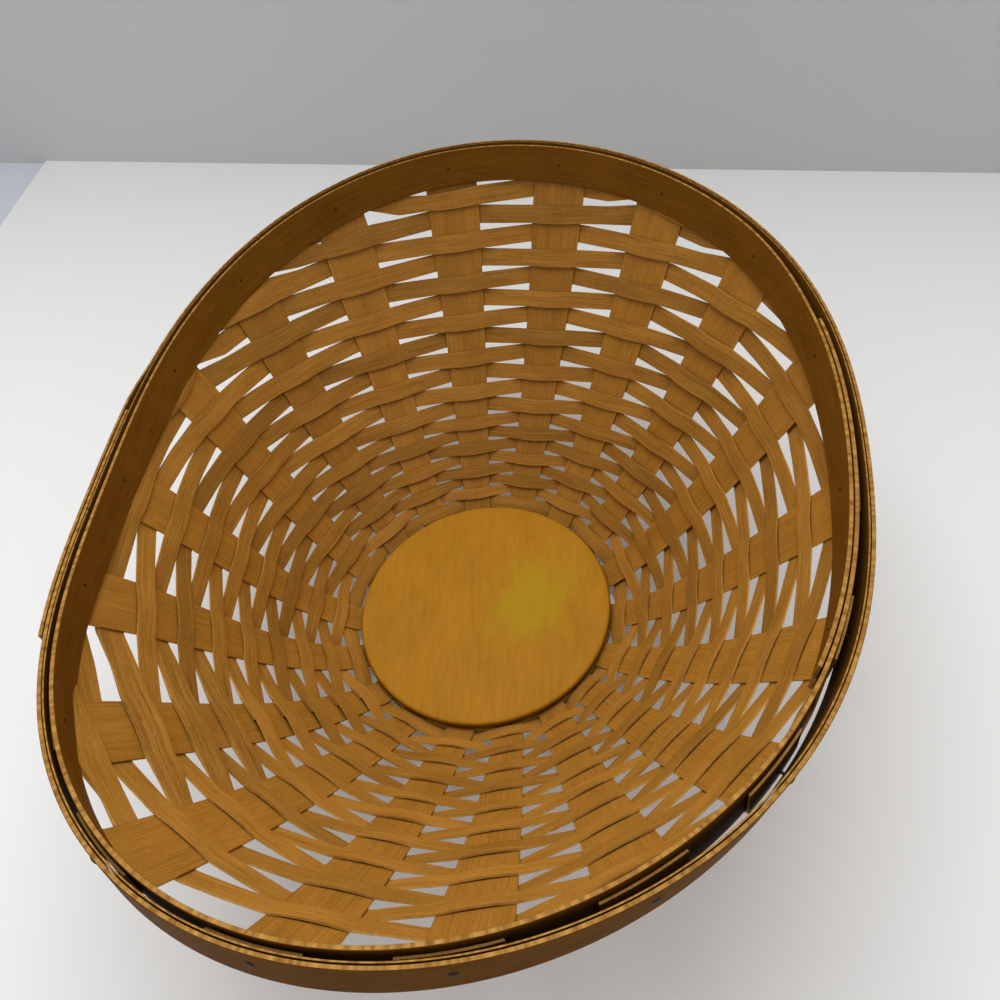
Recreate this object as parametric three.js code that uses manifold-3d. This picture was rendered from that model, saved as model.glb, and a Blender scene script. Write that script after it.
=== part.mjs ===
// Oval splint basket: a round wooden base of two discs, eighteen staves held between
// them, eighteen woven rows with a short one at the far end, and a rim of bent hoops nailed
// round the stave ends.
// Millimetres, +Z up. The origin is the centre of the underside, and +X runs along the
// long axis of the mouth. Angles are in degrees round +Z from +X.

import * as THREE from 'three';
import { mergeVertices } from 'three/addons/utils/BufferGeometryUtils.js';
import Module from 'manifold-3d';

// Gap left between pieces that lie against each other.
const CLEARANCE = 0.3;

// Base discs.
const BASE_RADIUS = 50.8;
const LOWER_DISC_THICKNESS = 4.05;
const UPPER_DISC_THICKNESS = 3.45;
const LOWER_DISC_ROUND = 0.8;
const UPPER_DISC_ROUND = 1.5;
const DISC_SIDES = 48;

// Staves: flat splints, tapered towards the base.
const STAVE_COUNT = 18;
const STAVE_THICKNESS = 0.8;
const STAVE_FOOT_WIDTH = 10.6;
const STAVE_WIDENING = 0.085;
const STAVE_ROOT_WIDTH = 4.4;
const STAVE_ROOT_LENGTH = 28.7;
const STAVE_STANDOFF = 0.8;
const STAVE_TOP_INSET = 1;
const STAVE_STEPS = 8;

// Where the staves stand round the base: even steps, closer on one side, set by hand.
const FIRST_STAVE = 289.4;
const STAVE_CROWDING = { along: -2.6, across: 1.8 };
const STAVE_HAND_DRIFT = [0.5, 0.5, 0, -0.5, 0, 1, 0.5, -1, 0.5, -0.5, -0.5, -2, 0.5, 1.5, 2, 0, -2, -1.5];

// Mouth: half lengths of the inner oval, its centre and its hand-bent irregularities.
const MOUTH_HALF_LENGTH = 155.7;
const MOUTH_HALF_WIDTH = 120.9;
const MOUTH_CENTRE = { x: 0.2, y: -6.3 };
const MOUTH_EGG = 1.3;
const MOUTH_SKEW = 2.7;
const MOUTH_SQUARENESS = 0.35;
const MOUTH_FLATS = 0.6;

// Height of the rim: both ends stand higher than the sides, one end most.
const RIM_HEIGHT = 116.2;
const RIM_TIP = 7.1;
const RIM_SADDLE = 6.7;
const RIM_TWIST = 3.1;

// Hoops and the lining between them. They lean outwards, except at the high end.
const HOOP_DEPTH = 13.8;
const INNER_HOOP_THICKNESS = 1.3;
const LINING_THICKNESS = 0.5;
const OUTER_HOOP_THICKNESS = 1.2;
const HOOP_LEAN = 25.3;
const HIGH_END_LEAN_LOSS = 34.5;
const HIGH_END = 172;
const HOOP_STEP = 5;

// Laps: the inner hoop starts inside itself, the outer hoop ends outside itself.
const INNER_LAP = { start: 230, length: 61, blend: 24 };
const OUTER_LAP = { start: 77, length: 46, ramp: 10, lead: 2 };
const LINING_JOINT = { at: 100, gap: 0.4 };
// The outer bands stand off the staves a little in one place.
const SLACK = { depth: 2.2, at: 219, narrowing: 12 };

// Walls: slopes where they leave the base and meet the rim, and fullness of both bends.
const WALL_FOOT_SLOPE = 34.9;
const WALL_TOP_SLOPE = 53.9;
const WALL_FOOT_FULLNESS = 0.343;
const WALL_TOP_FULLNESS = 0.329;
// How far round the mouth a stave ends from where it starts at the base.
const STAVE_TURN = { all: -2.95, along: 2.43, across: 2.1, oval: -5.44 };

// Weave: each row is a splint that goes once round and laps its own start. Rows run more
// level than the rim, lower towards the far end, and crowd together where the rim is low.
// One more short row fills the far end. Pitches and dips are shares of the mean wall length.
const ROW_COUNT = 18;
const FAR_ROW = { number: ROW_COUNT + 1, startStave: 6, lastVisit: 5, within: 0.5 };
const WEAVER_THICKNESS = 0.8;
const ROW_PITCH = 0.0381;
const ROW_PITCH_GROWTH = 0.000776;
const ROW_DIP = { farEnd: 0.042, left: 0.0165, ends: 0.018, fullFrom: 8 };
const WEAVE_START = 0.024;
const WEAVE_END = 0.985;
const CROWDED_FROM = 0.5;
const ROW_FILL = 0.88;
const ROW_WAVE = 0.11;
const WEAVER_OVERHANG = 0.8;
const STAVE_CURVES_FROM = 0.94;
const EVEN_ROW_START = 10;
const ODD_ROW_START = 1;
const LONG_LAP_FROM = 13;

// Brads through the rim, one at each stave.
const BRAD_SHANK = 0.55;
const BRAD_HEAD = 1.2;
const BRAD_HEAD_THICKNESS = 0.5;
const BRAD_SIDES = 6;
const RIM_BRAD_DROP = 6.6;
const RIM_BRAD_TIP = 0.4;

const wasm = await Module();
wasm.setup();

const UP = new THREE.Vector3(0, 0, 1);
const cosd = (degrees) => Math.cos(THREE.MathUtils.degToRad(degrees));
const sind = (degrees) => Math.sin(THREE.MathUtils.degToRad(degrees));
const polar = (radius, degrees, z) => new THREE.Vector3(radius * cosd(degrees), radius * sind(degrees), z);
// One smooth swell of height 1 round the oval, centred on an angle.
const swell = (degrees, centre, narrowing) => ((1 + cosd(degrees - centre)) / 2) ** narrowing;

// Levels in the base, from the underside up.
const STAVE_LEVEL = LOWER_DISC_THICKNESS + CLEARANCE + STAVE_THICKNESS / 2;
const UPPER_DISC_LEVEL = LOWER_DISC_THICKNESS + STAVE_THICKNESS + 2 * CLEARANCE;
const WALL_FOOT_RADIUS = BASE_RADIUS + STAVE_STANDOFF;

// Level distances outwards from the inside face of the inner hoop.
const STAVE_OUT = INNER_HOOP_THICKNESS + CLEARANCE + STAVE_THICKNESS / 2;
const LINING_OUT = STAVE_OUT + STAVE_THICKNESS / 2 + CLEARANCE;
const OUTER_HOOP_OUT = LINING_OUT + LINING_THICKNESS + CLEARANCE;
const INNER_LAP_STEP = INNER_HOOP_THICKNESS + CLEARANCE;
const OUTER_LAP_STEP = OUTER_HOOP_THICKNESS + CLEARANCE;

// Distances of woven strips from the middle of a stave: alone, and over a lapped start.
const WEAVER_OFFSET = STAVE_THICKNESS / 2 + CLEARANCE + WEAVER_THICKNESS / 2;
const LAP_OFFSET = WEAVER_OFFSET + WEAVER_THICKNESS + CLEARANCE;

// Closed solids

// Six times the signed volume under the triangles, positive when they point outwards.
function signedVolume(positions, triangles) {
  const corner = (i) => new THREE.Vector3(positions[3 * i], positions[3 * i + 1], positions[3 * i + 2]);
  let sum = 0;
  for (let i = 0; i < triangles.length; i += 3) {
    const [a, b, c] = [corner(triangles[i]), corner(triangles[i + 1]), corner(triangles[i + 2])];
    sum += a.dot(b.cross(c));
  }
  return sum;
}

function solid(positions, triangles) {
  const kept = [];
  for (let i = 0; i < triangles.length; i += 3) {
    const [a, b, c] = [triangles[i], triangles[i + 1], triangles[i + 2]];
    if (a !== b && b !== c && c !== a) kept.push(a, b, c);
  }
  if (signedVolume(positions, kept) < 0) kept.reverse();
  const geometry = new THREE.BufferGeometry();
  geometry.setAttribute('position', new THREE.Float32BufferAttribute(positions, 3));
  geometry.setIndex(kept);
  geometry.computeVertexNormals();
  return geometry;
}

// The same shape with its vertices shared, so that it is one closed body.
function closed(geometry) {
  const bare = geometry.clone();
  bare.deleteAttribute('normal');
  bare.deleteAttribute('uv');
  const merged = mergeVertices(bare);
  return solid(Array.from(merged.attributes.position.array), Array.from(merged.index.array));
}

// A closed strip through like-sided rings of points.
function strip(rings) {
  const sides = rings[0].length;
  const positions = rings.flat().flatMap((point) => point.toArray());
  const triangles = [];
  for (let ring = 0; ring + 1 < rings.length; ring++) {
    for (let side = 0; side < sides; side++) {
      const a = ring * sides + side;
      const b = ring * sides + ((side + 1) % sides);
      triangles.push(a, b, a + sides, b, b + sides, a + sides);
    }
  }
  const last = (rings.length - 1) * sides;
  for (let side = 1; side + 1 < sides; side++) {
    triangles.push(0, side + 1, side);
    triangles.push(last, last + side, last + side + 1);
  }
  return solid(positions, triangles);
}

function toManifold(geometry) {
  return new wasm.Manifold(new wasm.Mesh({
    numProp: 3,
    vertProperties: Float32Array.from(geometry.attributes.position.array),
    triVerts: Uint32Array.from(geometry.index.array),
  }));
}

function cut(geometry, tools) {
  let body = toManifold(geometry);
  for (const tool of tools) body = body.subtract(toManifold(tool));
  const mesh = body.getMesh();
  return solid(Array.from(mesh.vertProperties), Array.from(mesh.triVerts));
}

// Rim shape

function mouthPoint(t) {
  const mean = (MOUTH_HALF_LENGTH + MOUTH_HALF_WIDTH) / 2;
  const oval = (MOUTH_HALF_LENGTH - MOUTH_HALF_WIDTH) / 2;
  const bends = MOUTH_SKEW * sind(3 * t) - MOUTH_EGG * cosd(3 * t);
  const corners = MOUTH_FLATS * cosd(5 * t - 52) - MOUTH_SQUARENESS * cosd(4 * t);
  const radius = mean + oval * cosd(2 * t) + bends + corners;
  return polar(radius, t, 0).add(new THREE.Vector3(MOUTH_CENTRE.x, MOUTH_CENTRE.y, 0));
}

function rimHeight(t) {
  return RIM_HEIGHT - RIM_TIP * cosd(t) + RIM_SADDLE * cosd(2 * t) - RIM_TWIST * sind(2 * t);
}

function mouthSpeed(t) {
  return mouthPoint(t + 0.5).distanceTo(mouthPoint(t - 0.5));
}

function mouthNormal(t) {
  const along = mouthPoint(t + 0.5).sub(mouthPoint(t - 0.5));
  return along.cross(UP).normalize();
}

function hoopLean(t) {
  return HOOP_LEAN - HIGH_END_LEAN_LOSS * swell(t, HIGH_END, 2);
}

// A point on the rim bands: out from the inside face, and down the leaning band.
function hoopPoint(t, out, drop) {
  const lean = hoopLean(t);
  const point = mouthPoint(t).addScaledVector(mouthNormal(t), out - drop * sind(lean));
  point.z = rimHeight(t) - drop * cosd(lean);
  return point;
}

// Wall shape

const wallCurves = new Map();

// The line of the wall above one angle of the base, from the base's edge to the rim.
function wallCurve(theta) {
  if (!wallCurves.has(theta)) {
    const turn = STAVE_TURN.all + STAVE_TURN.along * cosd(theta) + STAVE_TURN.across * sind(theta)
      + STAVE_TURN.oval * sind(2 * theta);
    const t = theta + turn;
    const foot = polar(WALL_FOOT_RADIUS, theta, STAVE_LEVEL);
    const top = hoopPoint(t, STAVE_OUT, HOOP_DEPTH);
    const reach = foot.distanceTo(top);
    const level = top.clone().sub(foot).setZ(0).normalize();
    const leave = level.clone().multiplyScalar(cosd(WALL_FOOT_SLOPE)).setZ(sind(WALL_FOOT_SLOPE));
    const arrive = level.clone().multiplyScalar(cosd(WALL_TOP_SLOPE)).setZ(sind(WALL_TOP_SLOPE));
    const curve = new THREE.CubicBezierCurve3(
      foot,
      foot.clone().addScaledVector(leave, WALL_FOOT_FULLNESS * reach),
      top.clone().addScaledVector(arrive, -WALL_TOP_FULLNESS * reach),
      top,
    );
    curve.arcLengthDivisions = 60;
    wallCurves.set(theta, { curve, t, top, length: curve.getLength() });
  }
  return wallCurves.get(theta);
}

// Place, upward line, line across and inward normal of the wall, at a share of its length.
function wallFrame(theta, share) {
  const { curve } = wallCurve(theta);
  const point = curve.getPointAt(share);
  const up = curve.getTangentAt(share);
  const across = wallCurve(theta + 1).curve.getPointAt(share);
  across.sub(wallCurve(theta - 1).curve.getPointAt(share));
  across.addScaledVector(up, -across.dot(up)).normalize();
  return { point, across, inward: up.clone().cross(across) };
}

// Staves

function staveAngle(index) {
  const even = FIRST_STAVE + (index * 360) / STAVE_COUNT;
  const drift = STAVE_HAND_DRIFT[index % STAVE_HAND_DRIFT.length];
  return even + STAVE_CROWDING.along * cosd(even) + STAVE_CROWDING.across * sind(even) + drift;
}

const staveAngles = Array.from({ length: STAVE_COUNT }, (_, index) => staveAngle(index));

const staveWidth = (wallDistance) => STAVE_FOOT_WIDTH + STAVE_WIDENING * wallDistance;

// A point on a stave or off its face: share of the wall, across from its middle, inwards.
// Near the rim the stave takes the curve of the hoops.
function stavePoint(theta, share, across, inwards) {
  const frame = wallFrame(theta, share);
  const flat = frame.point.clone().addScaledVector(frame.across, across);
  flat.addScaledVector(frame.inward, inwards);
  if (share <= STAVE_CURVES_FROM) return flat;
  const { t, top } = wallCurve(theta);
  const curved = hoopPoint(t + across / mouthSpeed(t), STAVE_OUT - inwards, HOOP_DEPTH);
  curved.sub(top).add(frame.point);
  return flat.lerp(curved, THREE.MathUtils.smoothstep(share, STAVE_CURVES_FROM, 1));
}

// The six corners of a stave's section, from the middle of its inner face round.
function staveRing(width, pointAt) {
  const half = width / 2;
  const face = STAVE_THICKNESS / 2;
  return [
    pointAt(0, face),
    pointAt(half, face),
    pointAt(half, -face),
    pointAt(0, -face),
    pointAt(-half, -face),
    pointAt(-half, face),
  ];
}

function staveRootPoint(theta, radius, across, inwards) {
  const sideways = polar(1, theta + 90, 0);
  return polar(radius, theta, STAVE_LEVEL + inwards).addScaledVector(sideways, across);
}

// The bend at the base's edge, where the face turns from level to the wall's slope.
function staveBendPoint(theta, across, inwards) {
  const frame = wallFrame(theta, 0);
  const bisector = frame.inward.clone().add(UP).normalize();
  const sideways = polar(1, theta + 90, 0);
  const spread = inwards / bisector.dot(UP);
  return frame.point.clone().addScaledVector(sideways, across).addScaledVector(bisector, spread);
}

function staveGeometry(theta) {
  const { t, length } = wallCurve(theta);
  const topWidth = staveWidth(length);
  const rings = [
    staveRing(STAVE_ROOT_WIDTH, (x, off) => staveRootPoint(theta, BASE_RADIUS - STAVE_ROOT_LENGTH, x, off)),
    staveRing(STAVE_FOOT_WIDTH, (x, off) => staveBendPoint(theta, x, off)),
  ];
  for (let step = 1; step <= STAVE_STEPS; step++) {
    const share = (step / STAVE_STEPS) * STAVE_CURVES_FROM;
    rings.push(staveRing(staveWidth(share * length), (x, off) => stavePoint(theta, share, x, off)));
  }
  for (const drop of [HOOP_DEPTH, (HOOP_DEPTH + STAVE_TOP_INSET) / 2, STAVE_TOP_INSET]) {
    const pointAt = (x, off) => hoopPoint(t + x / mouthSpeed(t), STAVE_OUT - off, drop);
    rings.push(staveRing(topWidth, pointAt));
  }
  return strip(rings);
}

// Weavers

const meanWall = staveAngles.reduce((sum, theta) => sum + wallCurve(theta).length, 0) / STAVE_COUNT;

// Edge between row and row + 1, as a share of the wall, if nothing crowds the rows.
function freeRowEdge(row, theta) {
  const edge = row + 0.5;
  const dip = ROW_DIP.farEnd * cosd(theta) + ROW_DIP.left * sind(theta) + ROW_DIP.ends * cosd(2 * theta);
  const rise = ROW_PITCH * edge + ROW_PITCH_GROWTH * edge * edge - dip * Math.min(1, row / ROW_DIP.fullFrom);
  return Math.max(WEAVE_START, (rise * meanWall) / wallCurve(theta).length);
}

// The same edge with the upper rows crowded together where they would run past the rim.
function rowEdge(row, theta) {
  const free = freeRowEdge(row, theta);
  const lastRow = cosd(theta) > FAR_ROW.within ? FAR_ROW.number : ROW_COUNT;
  const end = Math.max(WEAVE_END, freeRowEdge(lastRow, theta));
  const crowding = (WEAVE_END - CROWDED_FROM) / (end - CROWDED_FROM);
  return free < CROWDED_FROM ? free : CROWDED_FROM + (free - CROWDED_FROM) * crowding;
}

// Lower and upper edge of a row's strip at a stave, as shares of the wall there. The strip
// sinks where it passes inside a stave and rises where it passes outside.
function rowShares(row, theta, isInside) {
  const [low, high] = [rowEdge(row - 1, theta), rowEdge(row, theta)];
  const middle = (low + high) / 2 + (isInside ? -1 : 1) * ROW_WAVE * (high - low);
  const half = (ROW_FILL * (high - low)) / 2;
  return [middle - half, middle + half];
}

function weaverRings(row, theta, isInside, offset, places) {
  const [low, high] = rowShares(row, theta, isInside);
  const half = WEAVER_THICKNESS / 2;
  const reach = staveWidth(high * wallCurve(theta).length) / 2 + WEAVER_OVERHANG;
  return places.map((place) => [
    stavePoint(theta, low, place * reach, offset + half),
    stavePoint(theta, low, place * reach, offset - half),
    stavePoint(theta, high, place * reach, offset - half),
    stavePoint(theta, high, place * reach, offset + half),
  ]);
}

// A row runs from its first stave once round, and on behind the next stave. The short row
// only crosses the far end.
function weaverGeometry(row) {
  const isShort = row === FAR_ROW.number;
  const fullStart = row % 2 === 0 ? EVEN_ROW_START : ODD_ROW_START;
  const startStave = isShort ? FAR_ROW.startStave : fullStart;
  const extra = row >= LONG_LAP_FROM && !isShort ? 1 : 0;
  const firstVisit = -extra;
  const lastVisit = isShort ? FAR_ROW.lastVisit : STAVE_COUNT + 1;
  const rings = [];
  for (let visit = firstVisit; visit <= lastVisit; visit++) {
    const stave = (startStave - visit + 2 * STAVE_COUNT) % STAVE_COUNT;
    const isInside = (row + stave) % 2 === 0;
    const isUnderLap = visit <= 1 && !isShort;
    const isOverLap = visit >= STAVE_COUNT - extra;
    const inner = isOverLap ? LAP_OFFSET : WEAVER_OFFSET;
    const outer = isUnderLap ? LAP_OFFSET : WEAVER_OFFSET;
    const isCurved = rowEdge(row, staveAngles[stave]) > STAVE_CURVES_FROM;
    let places = isCurved ? [1, 0, -1] : [1, -1];
    if (visit === firstVisit) places = [0, -1];
    if (visit === lastVisit) places = [1, 0];
    rings.push(...weaverRings(row, staveAngles[stave], isInside, isInside ? inner : -outer, places));
  }
  return strip(rings);
}

// Rim bands

function bandAngles(start, end) {
  const angles = [start];
  const first = Math.floor(start / HOOP_STEP) + 1;
  for (let k = first; k * HOOP_STEP < end; k++) {
    const isClear = k * HOOP_STEP - start > 1 && end - k * HOOP_STEP > 1;
    if (isClear) angles.push(k * HOOP_STEP);
  }
  angles.push(end);
  return angles;
}

function bandGeometry(start, end, outAt, thickness) {
  return strip(bandAngles(start, end).map((t) => [
    hoopPoint(t, outAt(t), 0),
    hoopPoint(t, outAt(t) + thickness, 0),
    hoopPoint(t, outAt(t) + thickness, HOOP_DEPTH),
    hoopPoint(t, outAt(t), HOOP_DEPTH),
  ]));
}

const slack = (t) => SLACK.depth * swell(t, SLACK.at, SLACK.narrowing);

// Along the inner hoop: inside its own end at first, then against the staves.
function innerHoopOut(t) {
  const lapEnd = INNER_LAP.start + INNER_LAP.length;
  return INNER_LAP_STEP * (THREE.MathUtils.smoothstep(t, lapEnd, lapEnd + INNER_LAP.blend) - 1);
}

// Along the outer hoop: against the lining, then stepping out over its own start.
function outerHoopOut(t) {
  const lapFrom = OUTER_LAP.start + 360 - OUTER_LAP.lead;
  const step = OUTER_LAP_STEP * THREE.MathUtils.smoothstep(t, lapFrom - OUTER_LAP.ramp, lapFrom);
  return OUTER_HOOP_OUT + slack(t) + step;
}

// Brads

// A headed brad along +Y, from its tip to the underside of its head.
function bradGeometry(tip, seat) {
  const profile = [
    [0, tip],
    [BRAD_SHANK, tip],
    [BRAD_SHANK, seat],
    [BRAD_HEAD, seat],
    [BRAD_HEAD, seat + BRAD_HEAD_THICKNESS],
    [0, seat + BRAD_HEAD_THICKNESS],
  ];
  return closed(new THREE.LatheGeometry(profile.map(([x, y]) => new THREE.Vector2(x, y)), BRAD_SIDES));
}

// The hole that a brad's shank or head passes through, also along +Y.
function boreGeometry(radius, low, high) {
  const bore = new THREE.CylinderGeometry(radius, radius, high - low, BRAD_SIDES);
  return closed(bore.translate(0, (low + high) / 2, 0));
}

function placeAlong(geometry, direction, origin) {
  const turn = new THREE.Quaternion().setFromUnitVectors(new THREE.Vector3(0, 1, 0), direction);
  return geometry.applyQuaternion(turn).translate(origin.x, origin.y, origin.z);
}

// The angle as it is counted along a band that starts at another angle.
const countedFrom = (start, t) => t - 360 * Math.floor((t - start) / 360);

// A brad goes square through the leaning bands, lapped layers included.
function rimBrad(theta) {
  const { t } = wallCurve(theta);
  const lean = hoopLean(t);
  const direction = mouthNormal(t).multiplyScalar(cosd(lean)).setZ(-sind(lean));
  const alongOuter = countedFrom(OUTER_LAP.start, t);
  const isLapped = alongOuter < OUTER_LAP.start + OUTER_LAP.length;
  const outerFace = outerHoopOut(alongOuter + (isLapped ? 360 : 0)) + OUTER_HOOP_THICKNESS;
  const seat = outerFace * cosd(lean) + CLEARANCE;
  const tip = innerHoopOut(countedFrom(INNER_LAP.start, t)) * cosd(lean) - RIM_BRAD_TIP;
  const place = (geometry) => placeAlong(geometry, direction, hoopPoint(t, 0, RIM_BRAD_DROP));
  return {
    brad: place(bradGeometry(tip, seat)),
    bore: place(boreGeometry(BRAD_SHANK + CLEARANCE, tip - INNER_LAP_STEP, seat + OUTER_LAP_STEP)),
  };
}

// Base discs

function discGeometry(level, thickness, lowerRound, upperRound) {
  const outline = [new THREE.Vector2(0, level)];
  const corner = (round, centreLevel, from, to) => {
    for (const angle of [from, (from + to) / 2, to]) {
      const x = BASE_RADIUS - round + round * cosd(angle);
      outline.push(new THREE.Vector2(x, centreLevel + round * sind(angle)));
    }
  };
  corner(lowerRound, level + lowerRound, -90, 0);
  corner(upperRound, level + thickness - upperRound, 0, 90);
  outline.push(new THREE.Vector2(0, level + thickness));
  return closed(new THREE.LatheGeometry(outline, DISC_SIDES).rotateX(Math.PI / 2));
}

// Finishes

const discWood = new THREE.MeshStandardMaterial({ color: 0xb07a3c, roughness: 0.42, metalness: 0 });
const staveWood = new THREE.MeshStandardMaterial({ color: 0xb9843f, roughness: 0.5, metalness: 0 });
const weaverWood = new THREE.MeshStandardMaterial({ color: 0xa8702f, roughness: 0.5, metalness: 0 });
const hoopWood = new THREE.MeshStandardMaterial({ color: 0x9a6228, roughness: 0.45, metalness: 0 });
const bradSteel = new THREE.MeshStandardMaterial({ color: 0x3b3026, roughness: 0.45, metalness: 0.8 });

// Assembly

const basket = new THREE.Group();

function add(name, geometry, material) {
  const mesh = new THREE.Mesh(geometry, material);
  mesh.name = name;
  basket.add(mesh);
}

const numbered = (name, index) => `${name}_${String(index + 1).padStart(2, '0')}`;
const rimBrads = staveAngles.map(rimBrad);
const rimBores = rimBrads.map(({ bore }) => bore);

add('base_disc_lower', discGeometry(0, LOWER_DISC_THICKNESS, LOWER_DISC_ROUND, LOWER_DISC_ROUND), discWood);
add(
  'base_disc_upper',
  discGeometry(UPPER_DISC_LEVEL, UPPER_DISC_THICKNESS, LOWER_DISC_ROUND, UPPER_DISC_ROUND),
  discWood,
);

staveAngles.forEach((theta, index) => {
  add(numbered('stave', index), cut(staveGeometry(theta), [rimBores[index]]), staveWood);
});

for (let row = 1; row <= FAR_ROW.number; row++) {
  add(numbered('weaver', row - 1), weaverGeometry(row), weaverWood);
}

const innerEnd = INNER_LAP.start + 360 + INNER_LAP.length;
const outerEnd = OUTER_LAP.start + 360 + OUTER_LAP.length;
const liningEnd = LINING_JOINT.at + 360 - LINING_JOINT.gap;
const innerHoop = bandGeometry(INNER_LAP.start, innerEnd, innerHoopOut, INNER_HOOP_THICKNESS);
const lining = bandGeometry(LINING_JOINT.at, liningEnd, (t) => LINING_OUT + slack(t), LINING_THICKNESS);
const outerHoop = bandGeometry(OUTER_LAP.start, outerEnd, outerHoopOut, OUTER_HOOP_THICKNESS);
add('inner_hoop', cut(innerHoop, rimBores), hoopWood);
add('rim_lining_band', cut(lining, rimBores), hoopWood);
add('outer_hoop', cut(outerHoop, rimBores), hoopWood);
rimBrads.forEach(({ brad }, index) => add(numbered('rim_nail', index), brad, bradSteel));

export default basket;
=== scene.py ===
# Oval splint basket: a round wooden base of two boards, eighteen staves held between
# them, woven rows and a rim of bent hoops nailed round the stave ends.
# Sizes are in millimetres and angles in degrees round +Z from +X; meshes are made in metres.

import math

import bpy
import numpy as np
from mathutils import Matrix, Vector


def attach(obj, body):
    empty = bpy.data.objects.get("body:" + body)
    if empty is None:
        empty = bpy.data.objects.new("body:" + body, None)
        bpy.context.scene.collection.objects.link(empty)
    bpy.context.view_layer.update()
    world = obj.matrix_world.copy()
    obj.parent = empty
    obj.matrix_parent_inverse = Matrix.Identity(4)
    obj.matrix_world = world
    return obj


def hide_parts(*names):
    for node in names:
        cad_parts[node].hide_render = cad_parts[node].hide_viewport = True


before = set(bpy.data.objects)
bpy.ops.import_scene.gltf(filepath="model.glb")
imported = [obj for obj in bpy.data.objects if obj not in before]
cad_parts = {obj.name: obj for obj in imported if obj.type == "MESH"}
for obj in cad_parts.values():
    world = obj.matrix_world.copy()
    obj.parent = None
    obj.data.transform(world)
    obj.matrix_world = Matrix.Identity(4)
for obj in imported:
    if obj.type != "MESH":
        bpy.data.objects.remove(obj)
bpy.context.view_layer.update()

# Base boards
# Two round maple boards, turned with an eased edge, stained and satin varnished.
# The lower one is the underside of the basket; the upper one is the floor seen inside it.
# They are glued together with the narrow stave roots between them.

MM = 0.001
CLEARANCE = 0.3
BASE_RADIUS = 50.8
LOWER_BOARD_THICKNESS = 4.05
UPPER_BOARD_THICKNESS = 3.45
LOWER_BOARD_ROUND = 0.8
UPPER_BOARD_ROUND = 1.5
BOARD_SIDES = 120
STAVE_THICKNESS = 0.8
UPPER_BOARD_LEVEL = LOWER_BOARD_THICKNESS + STAVE_THICKNESS + 2 * CLEARANCE
BOARD_GRAIN_ANGLE = 10
# Length, width and depth of the wood's flecks, of its broader bands and of the patch's frayed edge.
BOARD_FLECKS = (11.11, 1.613, 3.333)
BOARD_BANDS = (22.22, 10.526, 16.67)
PATCH_FRAY = (20, 8.333, 20)
# The worn patch: its middle, the turn of its long axis and its half sizes.
WORN_PATCH = (7, -20, 9)
WORN_PATCH_TURN = -25
WORN_PATCH_HALF_LENGTH = 27
WORN_PATCH_HALF_WIDTH = 19
# What the painted shade leaves of the wood's brightness on the turned edge.
EDGE_PAINTED_SHADE = 0.4


def cosd(degrees):
    return np.cos(np.radians(degrees))


def sind(degrees):
    return np.sin(np.radians(degrees))


def linear(hex_colour):
    """An sRGB hex colour as a linear colour with full alpha."""
    levels = [int(hex_colour[i:i + 2], 16) / 255 for i in (1, 3, 5)]
    return [c / 12.92 if c <= 0.04045 else ((c + 0.055) / 1.055) ** 2.4 for c in levels] + [1.0]


def add_node(tree, kind, settings=None, inputs=None):
    """Adds a node, sets its properties and its inputs, and links in the sockets given as inputs."""
    node = tree.nodes.new(kind)
    for name, value in (settings or {}).items():
        setattr(node, name, value)
    for socket, value in (inputs or {}).items():
        if isinstance(value, bpy.types.NodeSocket):
            tree.links.new(value, node.inputs[socket])
        else:
            node.inputs[socket].default_value = value
    return node


def new_material(name, base_colour, roughness):
    """A new material with its base colour and roughness, its node tree and its shader."""
    material = bpy.data.materials.new(name)
    material.use_nodes = True
    tree = material.node_tree
    shader = tree.nodes["Principled BSDF"]
    shader.inputs["Base Color"].default_value = linear(base_colour)
    shader.inputs["Roughness"].default_value = roughness
    return material, tree, shader


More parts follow.
